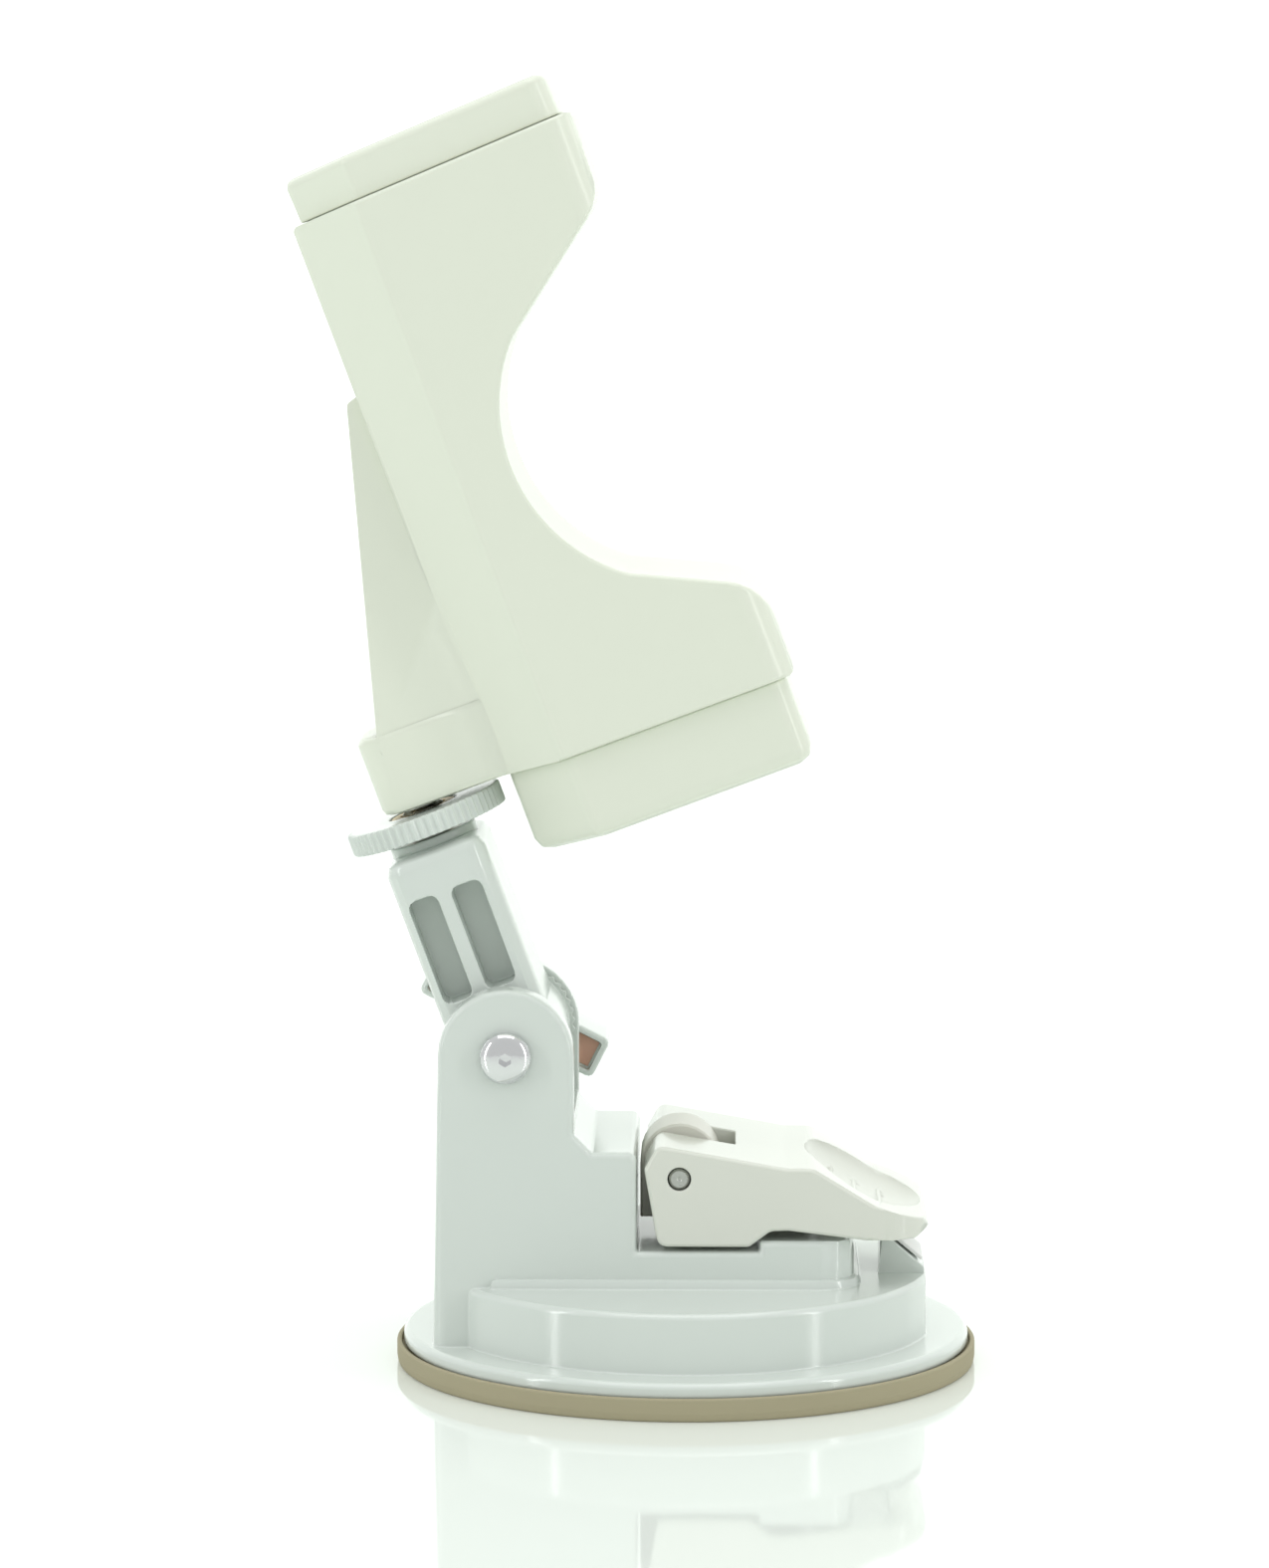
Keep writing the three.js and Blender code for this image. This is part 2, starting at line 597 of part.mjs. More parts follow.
// Everything threaded on the bolt of the tilting joint.
function pivotGroup() {
  const group = new THREE.Group();
  const knob = new THREE.Group();
  group.position.set(PIVOT.x, 0, PIVOT.z);
  knob.rotation.y = deg(KNOB.turn);
  knob.add(
    part('knob_nut', knobNut(), brass()),
    part('wing_knob', wingKnob(), whitePlastic()),
  );
  group.add(
    part('pivot_bolt', pivotBolt(), chrome()),
    part('friction_washer_front', frontWasher(), finish(0x3b3a3d, 0.6)),
    part('friction_washer_rear', serratedWasher(), whitePlastic()),
    part('knob_washer', knobWasher(), steel()),
    knob,
  );
  return group;
}

function baseGroup() {
  const group = new THREE.Group();
  group.add(
    part('base_housing', baseHousing(), whitePlastic()),
    part('suction_cup', suctionCup(), rubber()),
    part('indicator_pad', indicatorPad(), finish(0xf2f2ee, 0.5)),
    part('return_spring', returnSpring(), steel()),
    part('pull_stem', pullStem(), finish(0xd9d7cc, 0.4)),
    part('diaphragm_plate', diaphragmPlate(), steel()),
    part('cam_lever', camLever(), leverPlastic()),
    part('lever_pin', leverPin(), steel()),
  );
  return group;
}

function gripGroup() {
  const group = new THREE.Group();
  group.position.z = FOOT_LEVEL;
  group.add(
    part('grip_shell', gripShell(), gripPlastic()),
    part('top_cap', topCap(), gripPlastic()),
    part('bottom_plug', bottomPlug(), gripPlastic()),
    part('threaded_insert', threadedInsert(), brass()),
  );
  return group;
}

function armGroup() {
  const group = new THREE.Group();
  group.position.set(PIVOT.x, 0, PIVOT.z);
  group.rotation.y = -deg(LEAN);
  group.add(
    part('tilt_arm', arm(), whitePlastic()),
    part('pivot_bush', pivotBush(), steel()),
    part('tripod_stud', tripodStud(), steel()),
    part('lock_wheel', lockWheel(), whitePlastic()),
    part('wheel_insert', wheelInsert(), brass()),
    gripGroup(),
  );
  return group;
}

const mount = new THREE.Group();
mount.add(baseGroup(), pivotGroup(), armGroup());
mount.updateMatrixWorld(true);

// The part's origin is under the middle of its bounding box.
const bounds = new THREE.Box3().setFromObject(mount, true);
mount.position.x = -(bounds.min.x + bounds.max.x) / 2;

export default mount;
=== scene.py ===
"""Finished surfaces of a lever-operated suction mount that carries a C-shaped saddle grip.

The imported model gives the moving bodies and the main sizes. This script dresses it: moulded parts
get their edge rounding, and the turned, threaded and rubber parts are made afresh. The grip, the
cup, the tilt bolt and the front washer keep the frame's plain materials; the rest get a finish.
"""

import json
import logging
import math
from dataclasses import dataclass, field
from enum import Enum

import bmesh
import bpy
from mathutils import Matrix, Vector
from mathutils.bvhtree import BVHTree
from mathutils.geometry import intersect_point_line


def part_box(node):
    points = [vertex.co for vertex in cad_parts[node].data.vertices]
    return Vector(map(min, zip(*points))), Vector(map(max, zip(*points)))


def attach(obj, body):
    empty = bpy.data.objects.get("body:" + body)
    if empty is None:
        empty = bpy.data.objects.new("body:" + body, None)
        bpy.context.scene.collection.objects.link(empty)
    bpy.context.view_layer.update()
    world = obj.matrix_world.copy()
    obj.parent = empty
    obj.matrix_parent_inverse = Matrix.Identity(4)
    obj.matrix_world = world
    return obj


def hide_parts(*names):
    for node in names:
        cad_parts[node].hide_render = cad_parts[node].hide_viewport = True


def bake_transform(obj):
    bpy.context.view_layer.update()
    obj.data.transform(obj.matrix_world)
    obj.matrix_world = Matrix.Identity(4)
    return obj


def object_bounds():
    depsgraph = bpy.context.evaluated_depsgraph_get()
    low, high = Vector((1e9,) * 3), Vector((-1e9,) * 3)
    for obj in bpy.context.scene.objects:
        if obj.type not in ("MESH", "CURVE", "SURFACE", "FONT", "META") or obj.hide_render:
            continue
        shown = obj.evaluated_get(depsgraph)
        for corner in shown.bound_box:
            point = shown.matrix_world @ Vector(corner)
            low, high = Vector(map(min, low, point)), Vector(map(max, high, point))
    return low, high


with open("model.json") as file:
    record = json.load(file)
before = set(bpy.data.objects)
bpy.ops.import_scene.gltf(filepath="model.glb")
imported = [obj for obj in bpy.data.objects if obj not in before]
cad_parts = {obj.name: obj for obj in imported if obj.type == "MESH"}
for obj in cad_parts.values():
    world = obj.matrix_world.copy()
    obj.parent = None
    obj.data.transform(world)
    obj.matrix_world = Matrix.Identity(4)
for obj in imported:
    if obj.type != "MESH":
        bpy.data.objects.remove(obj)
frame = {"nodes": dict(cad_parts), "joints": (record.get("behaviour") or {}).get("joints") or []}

CAD_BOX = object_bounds()
LOG = logging.getLogger("suction_mount")
MM = 0.001
Y_AXIS = Vector((0, 1, 0))

WELD = 0.004 * MM  # corners nearer than this are joined before the rounding
WELD_AFTER = 0.002 * MM  # the same, after it
FLAT = math.radians(0.7)  # faces that meet at less than this become one
ROUNDED_ABOVE = math.radians(34)  # edges that turn by more than this are rounded
SMOOTH_BELOW = math.radians(32)  # edges that turn by less than this are shaded smooth
ROUNDING_TRIES = 7
FOLD_DEPTH = 1.2  # how far from the old surface a rounded face may lie, in widths of the rounding
FOLD_REACH = 2.5  # how near a fold an edge must lie to stay sharp, in widths of the rounding
FOLD_REACH_GROWTH = 1.6  # what each new try multiplies that reach by
FOLD_FACING = 0.2  # a face turned further than this from the old surface, as a cosine, is a fold
SMALLEST_AREA = 1e-9  # twice the area of triangles too small to test, in square metres


# ---------------------------------------------------------------- shader building


class Nodes:
    """Adds nodes to one material and wraps their outputs for shader maths."""

    def __init__(self, material: bpy.types.Material) -> None:
        """Start from the material's own tree, which has its Principled shader."""
        self.tree = material.node_tree
        self.shader = self.tree.nodes["Principled BSDF"]

    def add(self, kind: str, settings: dict | None = None, inputs: dict | None = None,
            output: int | str = 0) -> "Sock":
        """Add one node.

        Args:
            kind: the node's type.
            settings: attributes that are set before the sockets.
            inputs: socket names or numbers, each with a value or a Sock to link.
            output: the name or number of the output that is returned.

        Returns:
            The chosen output, ready for maths.
        """
        node = self.tree.nodes.new(kind)
        for name, value in (settings or {}).items():
            setattr(node, name, value)
        for name, value in (inputs or {}).items():
            if isinstance(value, Sock):
                self.tree.links.new(value.socket, node.inputs[name])
            else:
                node.inputs[name].default_value = value
        return Sock(self, node.outputs[output])

    def feed(self, name: str, value: "Sock") -> None:
        """Link a value to one of the Principled shader's sockets."""
        self.tree.links.new(value.socket, self.shader.inputs[name])

    def noise(self, scale: float, detail: float = 2.0, stretch: tuple = (1, 1, 1)) -> "Sock":
        """Return noise on object coordinates, with features of about 1 / scale metres."""
        place = self.add("ShaderNodeTexCoord", output="Object")
        mapped = self.add("ShaderNodeMapping", inputs={"Vector": place, "Scale": stretch})
        return self.add("ShaderNodeTexNoise", inputs={"Vector": mapped, "Scale": scale, "Detail": detail})

    def tint(self, factor: "Sock", low: tuple, high: tuple) -> "Sock":
        """Mix two colours by a factor."""
        factor_input, low_input, high_input, colour_output = 0, 6, 7, 2
        return self.add("ShaderNodeMix", {"data_type": "RGBA"},
                        {factor_input: factor, low_input: (*low, 1), high_input: (*high, 1)},
                        output=colour_output)

    def bump(self, height: "Sock", distance: float, strength: float = 1.0) -> None:
        """Feed a height to the shader's normal."""
        bumped = self.add("ShaderNodeBump",
                          inputs={"Height": height, "Distance": distance, "Strength": strength})
        self.feed("Normal", bumped)


@dataclass(frozen=True)
class Sock:
    """A node output that takes part in written maths."""

    nodes: Nodes
    socket: bpy.types.NodeSocket

    def _math(self, operation: str, first: "Sock | float", second: "Sock | float") -> "Sock":
        """Add one Math node."""
        return self.nodes.add("ShaderNodeMath", {"operation": operation}, {0: first, 1: second})

    def __add__(self, other: "Sock | float") -> "Sock":
        """self + other."""
        return self._math("ADD", self, other)

    def __radd__(self, other: float) -> "Sock":
        """other + self."""
        return self._math("ADD", other, self)

    def __sub__(self, other: "Sock | float") -> "Sock":
        """self - other."""
        return self._math("SUBTRACT", self, other)

    def __rsub__(self, other: float) -> "Sock":
        """other - self."""
        return self._math("SUBTRACT", other, self)

    def __mul__(self, other: "Sock | float") -> "Sock":
        """self * other."""
        return self._math("MULTIPLY", self, other)

    def __rmul__(self, other: float) -> "Sock":
        """other * self."""
        return self._math("MULTIPLY", other, self)

    def clamp(self, low: float, high: float) -> "Sock":
        """Return the value held between low and high."""
        return self.nodes.add("ShaderNodeClamp", inputs={0: self, 1: low, 2: high})


class Grain(Enum):
    """How a surface was made, which sets its fine relief."""

    MOULDED = "moulded"
    MACHINED = "machined"
    FILM = "film"


@dataclass(frozen=True)
class Finish:
    """One finish of the object, with its own grain.

    The two colours are the lightest and darkest that the surface shows, in linear values.
    Its name differs from every slot's, because the frame has materials of those names.
    """

    name: str
    slot: str
    light: tuple
    dark: tuple
    roughness: float
    grain: Grain = Grain.MOULDED
    metallic: float = 0.0
    coat: float = 0.0
    coat_roughness: float = 0.08

    def material(self) -> bpy.types.Material:
        """Return the finish's material, making it on first use."""
        known = bpy.data.materials.get(self.name)
        if known:
            return known
        material = bpy.data.materials.new(self.name)
        material.use_nodes = True
        nodes = Nodes(material)
        shader = nodes.shader
        shader.inputs["Metallic"].default_value = self.metallic
        shader.inputs["Coat Weight"].default_value = self.coat
        shader.inputs["Coat Roughness"].default_value = self.coat_roughness
        painters = {
            Grain.MOULDED: self._moulded,
            Grain.MACHINED: self._machined,
            Grain.FILM: self._film,
        }
        painters[self.grain](nodes)
        return material

    def _moulded(self, nodes: Nodes) -> None:
        """Moulded plastic: slow flow marks in the gloss, a hint of orange peel, a little dust."""
        flow = nodes.noise(28, 3, (1, 1, 0.45))
        peel = nodes.noise(900, 2)
        dust = nodes.noise(5200, 1)
        nodes.feed("Base Color", nodes.tint(flow, self.dark, self.light))
        shine = self.roughness + (flow - 0.5) * 0.16 + (dust - 0.5) * 0.06
        nodes.feed("Roughness", shine.clamp(0.05, 0.9))
        nodes.bump(peel + dust * 0.25, 0.006 * MM, 0.7)

    def _machined(self, nodes: Nodes) -> None:
        """Turned or drawn metal: fine cross lines and small changes of shine."""
        lines = nodes.noise(500, 3, (1, 1, 14))
        stain = nodes.noise(220, 3)
        nodes.feed("Base Color", nodes.tint(stain, self.dark, self.light))
        shine = self.roughness + (lines - 0.5) * 0.25 + (stain - 0.5) * 0.15
        nodes.feed("Roughness", shine.clamp(0.05, 0.8))
        nodes.bump(lines, 0.01 * MM, 0.5)

    def _film(self, nodes: Nodes) -> None:
        """Printed film: even, with paper-fine tooth."""
        tooth = nodes.noise(4200, 2)
        nodes.feed("Base Color", nodes.tint(tooth, self.dark, self.light))
        nodes.feed("Roughness", (self.roughness + (tooth - 0.5) * 0.1).clamp(0.1, 0.9))
        nodes.bump(tooth, 0.006 * MM, 0.4)


@dataclass(frozen=True)
class SlotFinish:
    """The plain material that the frame brings for a slot, used as it is."""

    slot: str

    def material(self) -> bpy.types.Material:
        """Return the frame's material of the slot's name."""
        return bpy.data.materials[self.slot]


HOUSING = Finish("housing_gloss", "housing_white", (0.70, 0.75, 0.71), (0.67, 0.72, 0.68), 0.18, coat=0.4)
LEVER = Finish("lever_gloss", "lever_white", (0.735, 0.75, 0.68), (0.705, 0.72, 0.65), 0.22, coat=0.35)
GRIP = SlotFinish("grip_cream")
RUBBER = SlotFinish("cup_rubber")
CHROME = SlotFinish("bolt_chrome")
STEEL = Finish("bright_steel", "steel", (0.56, 0.57, 0.53), (0.40, 0.41, 0.39), 0.3, Grain.MACHINED, 1.0)
BRASS = Finish("turned_brass", "brass", (0.66, 0.48, 0.20), (0.52, 0.36, 0.14), 0.3, Grain.MACHINED, 1.0)
WASHER = SlotFinish("dark_washer")
FILM = Finish("pad_film", "pad_white", (0.88, 0.88, 0.87), (0.85, 0.85, 0.84), 0.45, Grain.FILM)
MARK = Finish("pad_mark", "pad_white", (0.12, 0.12, 0.13), (0.09, 0.09, 0.10), 0.5, Grain.FILM)
ACETAL = Finish("natural_acetal", "stem_white", (0.74, 0.73, 0.66), (0.70, 0.69, 0.61), 0.34)
# painted light: a warm tan that stands for light shining through the thin floor of the knob's recess
PAINTED_GLOW = Finish("tan_inlay", "housing_white", (0.80, 0.47, 0.35), (0.74, 0.41, 0.30), 0.45)


# ---------------------------------------------------------------- mesh building


def finish_piece(bm: bmesh.types.BMesh, name: str, body: str, finish: Finish | SlotFinish,
                 stands_for: tuple = ()) -> bpy.types.Object:
    """Turn a bmesh into a finished piece of the object.

    Args:
        bm: the shape, placed in the frame; it is freed.
        name: the piece's name.
        body: the body that it moves with, or nothing for a piece that lies over a joint and is attached to
            no body.
        finish: what it is made of.
        stands_for: CAD nodes that it takes the place of.

    Returns:
        The new object.
    """
    mesh = bpy.data.meshes.new(name)
    bm.to_mesh(mesh)
    bm.free()
    for polygon in mesh.polygons:
        polygon.use_smooth = True
    mesh.set_sharp_from_angle(angle=SMOOTH_BELOW)
    piece = bpy.data.objects.new(name, mesh)
    bpy.context.scene.collection.objects.link(piece)
    mesh.materials.append(finish.material())
    weights = piece.modifiers.new("even_normals", "WEIGHTED_NORMAL")
    weights.keep_sharp = True
    if body:
        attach(piece, body)
    if stands_for:
        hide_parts(*stands_for)
    LOG.info("%s: %d faces on %s", name, len(mesh.polygons), body or "two bodies")
    return piece


def softened(node: str, edge: float, segments: int = 3) -> bmesh.types.BMesh:
    """Copy a CAD node, join its triangles and round its sharp edges.

    Where a rounding would fold the surface over, as at the meeting of many short edges, the edges
    there are left as they are and the rounding is made again.

    Args:
        node: the CAD node.
        edge: width of the rounding, in metres.
        segments: faces across the rounding.

    Returns:
        The rounded shape.
    """
    source = bmesh.new()
    source.from_mesh(frame["nodes"][node].data)
    bmesh.ops.remove_doubles(source, verts=source.verts, dist=WELD)
    bmesh.ops.dissolve_degenerate(source, dist=WELD, edges=source.edges)
    surface = BVHTree.FromBMesh(source)
    bmesh.ops.dissolve_limit(source, angle_limit=FLAT, verts=source.verts, edges=source.edges)
    source.edges.index_update()
    source.edges.ensure_lookup_table()
    chosen = {e.index for e in source.edges if e.is_manifold and e.calc_face_angle(0) > ROUNDED_ABOVE}
    bm = with_rounded_edges(source, chosen, edge, segments)
    folds = folded_places(bm, surface, FOLD_DEPTH * edge)
    reach = FOLD_REACH * edge
    tries = 1
    while folds and tries < ROUNDING_TRIES:
        bm.free()
        chosen -= {i for i in chosen for place in folds if distance_to(source.edges[i], place) < reach}
        bm = with_rounded_edges(source, chosen, edge, segments)
        folds = folded_places(bm, surface, FOLD_DEPTH * edge)
        reach *= FOLD_REACH_GROWTH
        tries += 1
    LOG.info("%s: %d folds left", node, len(folds))
    source.free()
    return bm


def with_rounded_edges(source: bmesh.types.BMesh, chosen: set, edge: float,
                       segments: int) -> bmesh.types.BMesh:
    """Copy a shape and round some of its edges.

    Args:
        source: the shape, which is left as it is.
        chosen: indices of the edges to round.
        edge: width of the rounding, in metres.
        segments: faces across the rounding.

    Returns:
        The rounded copy.
    """
    bm = source.copy()
    bm.edges.ensure_lookup_table()
    bmesh.ops.bevel(bm, geom=[bm.edges[i] for i in chosen], offset=edge, offset_type="OFFSET",
                    segments=segments, profile=0.5, affect="EDGES", material=-1, clamp_overlap=False,
                    miter_outer="ARC")
    bmesh.ops.remove_doubles(bm, verts=bm.verts, dist=WELD_AFTER)
    return bm


def folded_places(bm: bmesh.types.BMesh, surface: BVHTree, reach: float) -> list:
    """Return the middles of triangles that left a surface or face the wrong way.

    Args:
        bm: the shape to test.
        surface: the surface that it was made from.
        reach: how far from the surface a face may lie.

    Returns:
        The places, as vectors.
    """
    places = []
    for loops in bm.calc_loop_triangles():
        a, b, c = (loop.vert.co for loop in loops)
        normal = (b - a).cross(c - a)
        if normal.length < SMALLEST_AREA:
            continue
        place = (a + b + c) / 3
        near = surface.find_nearest_range(place, reach)
        if not near or max(hit[1].dot(normal.normalized()) for hit in near) < FOLD_FACING:
            places.append(place)
    return places


def made_verts(geometry: list) -> list:
    """Return the vertices among what a bmesh operator made."""
    return [piece for piece in geometry if isinstance(piece, bmesh.types.BMVert)]


def distance_to(edge: bmesh.types.BMEdge, place: Vector) -> float:
    """Return the distance from a place to the nearest point of an edge."""
    start, end = (vert.co for vert in edge.verts)
    share = intersect_point_line(place, start, end)[1]
    return (start.lerp(end, min(max(share, 0), 1)) - place).length


def turned(profile: list, steps: int = 96) -> bmesh.types.BMesh:
    """Spin an outline about Z into a closed solid.

    Args:
        profile: (radius, height) points in metres; it closes on itself or on the axis.
        steps: faces round the axis.

    Returns:
        The solid, standing on the Z axis.
    """
    bm = bmesh.new()
    points = [bm.verts.new((radius, 0, height)) for radius, height in profile]
    edges = [bm.edges.new(pair) for pair in zip(points, points[1:])]
    if profile[0][0] > 0 or profile[-1][0] > 0:
        edges.append(bm.edges.new((points[-1], points[0])))
    bmesh.ops.spin(bm, geom=points + edges, cent=(0, 0, 0), axis=(0, 0, 1), angle=2 * math.pi,
                   steps=steps, use_merge=True)
    bmesh.ops.remove_doubles(bm, verts=bm.verts, dist=0.001 * MM)
    bmesh.ops.recalc_face_normals(bm, faces=bm.faces)
    return bm


def rounded(profile: list, steps: int = 4) -> list:
    """Round the corners of an outline.

    Args:
        profile: (x, y, radius) corners; a radius of 0 keeps the corner sharp.
        steps: pieces in each rounding.

    Returns:
        The outline as (x, y) points.
    """
    outline = []
    count = len(profile)
    for i, (x, y, radius) in enumerate(profile):
        corner = Vector((x, y))
        if not radius:
            outline.append((x, y))
            continue
        before = (Vector(profile[i - 1][:2]) - corner).normalized()
        after = (Vector(profile[(i + 1) % count][:2]) - corner).normalized()
        half = before.angle(after) / 2
        reach = radius / math.tan(half)
        centre = corner + (before + after).normalized() * (radius / math.sin(half))
        start = corner + before * reach - centre
        sweep = start.angle_signed(corner + after * reach - centre)
        for k in range(steps + 1):
            turn = Matrix.Rotation(-sweep * k / steps, 2)
            outline.append(tuple(centre + turn @ start))
    return outline


def rounded_box(size: Vector, edge: float) -> bmesh.types.BMesh:
    """Return a box about the origin whose edges are all rounded."""
    bm = bmesh.new()
    bmesh.ops.create_cube(bm, size=1)
    bmesh.ops.scale(bm, vec=size, verts=bm.verts)
    bmesh.ops.bevel(bm, geom=bm.edges[:], offset=edge, segments=2, profile=0.5, affect="EDGES", material=-1)
    return bm


def along(axis: Vector, origin: Vector) -> Matrix:
    """Return the placement that stands the Z axis along axis, at origin."""
    return Matrix.Translation(origin) @ axis.to_track_quat("Z", "X").to_matrix().to_4x4()


def joint(name: str) -> dict:
    """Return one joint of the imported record."""
    return next(j for j in frame["joints"] if j["name"] == name)


def middle(node: str) -> Vector:
    """Return the middle of a CAD node's box."""
    low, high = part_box(node)
    return (low + high) / 2


# ---------------------------------------------------------------- sub-assemblies


@dataclass
class Base:
    """The white housing, the rubber cup under it and the pad on its nose."""

    edge: float = 0.3 * MM
    lip_edge: float = 0.35 * MM
    lip_height: float = 3.45 * MM
    lip_width: float = 0.7 * MM
    rings: int = 3
    ring_height: float = 0.25 * MM
    ring_pitch: float = 3.2 * MM
    ring_half_width: float = 0.7 * MM
    outer_ring: float = 0.78  # share of the rim's radius
    hollow_depth: float = 3.4 * MM
    hollow_radius: float = 0.885  # share of the rim's radius
    bar: Vector = field(default_factory=lambda: Vector((2.6, 1.1, 0.12)) * MM)
    bar_places: tuple = (-1.6 * MM, 1.4 * MM)
    wire: float = 0.68 * MM
    coil_turns: float = 4.5
    coil_steps: int = 30
    axis: Vector = field(default_factory=lambda: middle("suction_cup"))

    def build(self) -> None:
        """Make every piece of the base."""
        finish_piece(softened("base_housing", self.edge), "housing", "base", HOUSING, ("base_housing",))
        self.cup()
        self.pad()
        self.spring()

    def cup(self) -> None:
        """The cup: a thin skirt with a rolled lip, sealing rings and a domed middle."""
        low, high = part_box("suction_cup")
        rim = (high.x - low.x) / 2
        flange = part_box("base_housing")[0].z
        lip_top = low.z + self.lip_height
        lip = rim - self.lip_width
        seat = flange - 0.3 * MM
        rings = []
        for i in range(self.rings):
            radius = self.outer_ring * rim - i * self.ring_pitch
            height = self._dome(radius, rim)
            inner = radius - self.ring_half_width
            rings += [(radius + self.ring_half_width, height, 0), (radius, height - self.ring_height, 0),
                      (inner, self._dome(inner, rim), 0)]
        profile = [
            (rim - 0.2 * MM, 0.0, 0.6 * MM),
            (rim, 1.2 * MM, 0.5 * MM),
            (rim, lip_top, self.lip_edge),
            (lip, lip_top - 0.1 * MM, 0.2 * MM),
            (lip, seat, 0.2 * MM),
            (0.74 * rim, seat, 1.5 * MM),
            (0.62 * rim, high.z, 1.5 * MM),
            (0.0, high.z, 0),
            (0.0, self.hollow_depth, 0),
            (0.45 * rim, 2.9 * MM, 0),
            *reversed(rings),
            (self.hollow_radius * rim, 0.0, 0.5 * MM),
        ]
        bm = turned(self._open(rounded(profile)), 144)
        bm.transform(Matrix.Translation((self.axis.x, self.axis.y, 0)))
        cup = finish_piece(bm, "rubber_cup", "", RUBBER, ("suction_cup",))
        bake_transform(cup)

    def _dome(self, radius: float, rim: float) -> float:
        """Height of the hollow underside at a radius."""
        return self.hollow_depth * (1 - (radius / (self.hollow_radius * rim)) ** 2)

    @staticmethod
    def _open(outline: list) -> list:
        """Start an outline at its lower axis point, so that both ends lie on the axis."""
        first = next(i for i, (radius, _) in enumerate(outline) if radius == 0 and outline[i - 1][0] == 0)
        return outline[first:] + outline[:first]

    def pad(self) -> None:
        """The plain film pad on the nose, with two small bars in place of its print."""
        finish_piece(softened("indicator_pad", 0.12 * MM), "nose_pad", "base", FILM, ("indicator_pad",))
        low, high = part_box("indicator_pad")
        slope = Vector((high.x - low.x, 0, low.z - high.z)).normalized()
        out = Vector((-slope.z, 0, slope.x))
        for i, y in enumerate(self.bar_places):
            bm = rounded_box(self.bar, 0.05 * MM)
            centre = (low + high) / 2 + out * self.bar.z
            bm.transform(along(out, Vector((centre.x, y, centre.z))))
            finish_piece(bm, f"nose_bar_{i + 1}", "base", MARK)

    def spring(self) -> None:
        """The return spring as a round wire wound on a helix."""
        low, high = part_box("return_spring")
        coil = (high.x - low.x) / 2 - self.wire
        rise = (high.z - low.z - 2 * self.wire) / self.coil_turns
        bm = bmesh.new()
        ring = bmesh.ops.create_circle(bm, segments=10, radius=self.wire, cap_ends=True)
        bm.transform(Matrix.Translation((coil, 0, 0)) @ Matrix.Rotation(math.pi / 2, 4, "X"))
        bmesh.ops.spin(bm, geom=bm.faces[:] + bm.edges[:] + ring["verts"], cent=(0, 0, 0), axis=(0, 0, 1),
                       dvec=(0, 0, rise / self.coil_steps), angle=2 * math.pi * self.coil_turns,
                       steps=round(self.coil_steps * self.coil_turns))
        bmesh.ops.recalc_face_normals(bm, faces=bm.faces)
        bm.transform(Matrix.Translation((self.axis.x, 0, low.z + self.wire)))
        spring = finish_piece(bm, "spring_wire", "", STEEL, ("return_spring",))
        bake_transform(spring)


